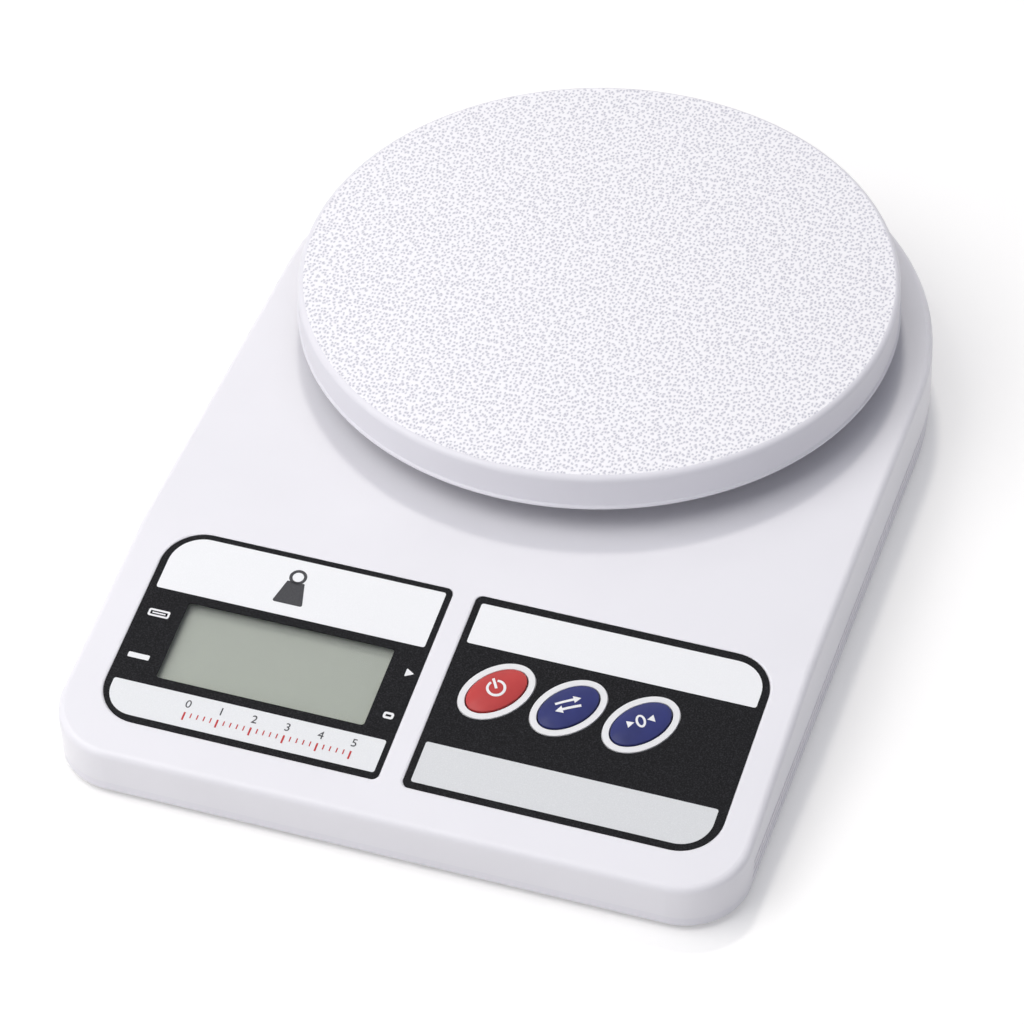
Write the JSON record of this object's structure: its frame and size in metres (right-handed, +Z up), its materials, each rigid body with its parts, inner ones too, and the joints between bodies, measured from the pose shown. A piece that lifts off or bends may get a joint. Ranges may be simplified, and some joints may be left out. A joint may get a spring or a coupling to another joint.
{
  "type": "digital kitchen scale",
  "caption": "Digital kitchen scale with a round lift-off platter, a sloped front panel with a display window and oval buttons, and a battery bay underneath.",
  "frame": {"origin": "middle of the footprint, at the height of the table the feet stand on", "axes": "+X to the user's right, +Y from the front panel to the platter, +Z up"},
  "size_m": [0.164, 0.2442, 0.0409],
  "materials": {
    "casing_upper": "satin white with a faint lavender tint",
    "casing_lower": "satin white with a faint lavender tint",
    "platter_white": "fine stippled texture on top, satin side",
    "label_black": "fine grained film with silver bands",
    "frame_white": "matt white",
    "key_red": "glossy",
    "key_blue": "glossy",
    "window_clear": "clear",
    "display_grey": "grey-green, blank",
    "inner_white": "as moulded",
    "strip_rubber": "pink silicone with a black middle",
    "board_green": "solder mask",
    "screw_steel": "zinc plated",
    "switch_black": "black",
    "crystal_steel": "drawn can",
    "capacitor_sleeve": "shrink sleeve",
    "beam_aluminium": "milled",
    "coating_white": "soft white silicone",
    "ribbon_grey": "grey flat lead",
    "battery_jacket": "plain dark jacket",
    "contact_steel": "nickel plated",
    "wire_red": "insulated",
    "foot_rubber": "pale grey"
  },
  "bodies": {
    "base": {"top_casing": "casing_upper", "bottom_casing": "casing_lower", "display_label": "label_black", "key_label": "label_black", "key_frames": "frame_white", "display_window": "window_clear", "display_glass": "display_grey", "display_holder": "inner_white", "contact_strips": "strip_rubber", "main_board": "board_green", "board_screws": "screw_steel", "switch_bodies": "switch_black", "chip_cap": "switch_black", "timing_crystal": "crystal_steel", "capacitor": "capacitor_sleeve", "load_cell": "beam_aluminium", "gauge_coating": "coating_white", "load_cell_screws": "screw_steel", "load_cell_ribbon": "ribbon_grey", "battery_front": "battery_jacket", "battery_rear": "battery_jacket", "battery_spring_front": "contact_steel", "battery_spring_rear": "contact_steel", "battery_bridge": "contact_steel", "battery_terminals": "contact_steel", "battery_wires": "wire_red", "casing_screws": "screw_steel", "rubber_feet": "foot_rubber"},
    "carrier": {"platter_carrier": "inner_white", "carrier_screws": "screw_steel"},
    "platter": {"platter": "platter_white"},
    "power_key": {"power_key": "key_red", "power_plunger": "switch_black"},
    "mode_key": {"mode_key": "key_blue", "mode_plunger": "switch_black"},
    "tare_key": {"tare_key": "key_blue", "tare_plunger": "switch_black"},
    "battery_door": {"battery_door": "casing_lower"}
  },
  "joints": [
    {"name": "weigh", "type": "slide", "parent": "base", "child": "carrier", "axis": [0, 0, -1], "range_m": [0, 0.0005], "stiffness_N_per_m": 20000, "deforming": ["load_cell", "gauge_coating"]},
    {"name": "platter_lift", "type": "slide", "parent": "carrier", "child": "platter", "axis": [0, 0, 1], "range_m": [0, 0.03]},
    {"name": "power_press", "type": "slide", "parent": "base", "child": "power_key", "axis": [0, 0.1582, -0.9874], "range_m": [0, 0.0004], "stiffness_N_per_m": 2500},
    {"name": "mode_press", "type": "slide", "parent": "base", "child": "mode_key", "axis": [0, 0.1582, -0.9874], "range_m": [0, 0.0004], "stiffness_N_per_m": 2500},
    {"name": "tare_press", "type": "slide", "parent": "base", "child": "tare_key", "axis": [0, 0.1582, -0.9874], "range_m": [0, 0.0004], "stiffness_N_per_m": 2500},
    {"name": "battery_door_hinge", "type": "hinge", "parent": "base", "child": "battery_door", "pos_m": [0, -0.01945, 0.0012], "axis": [1, 0, 0], "range_deg": [0, 100]}
  ]
}
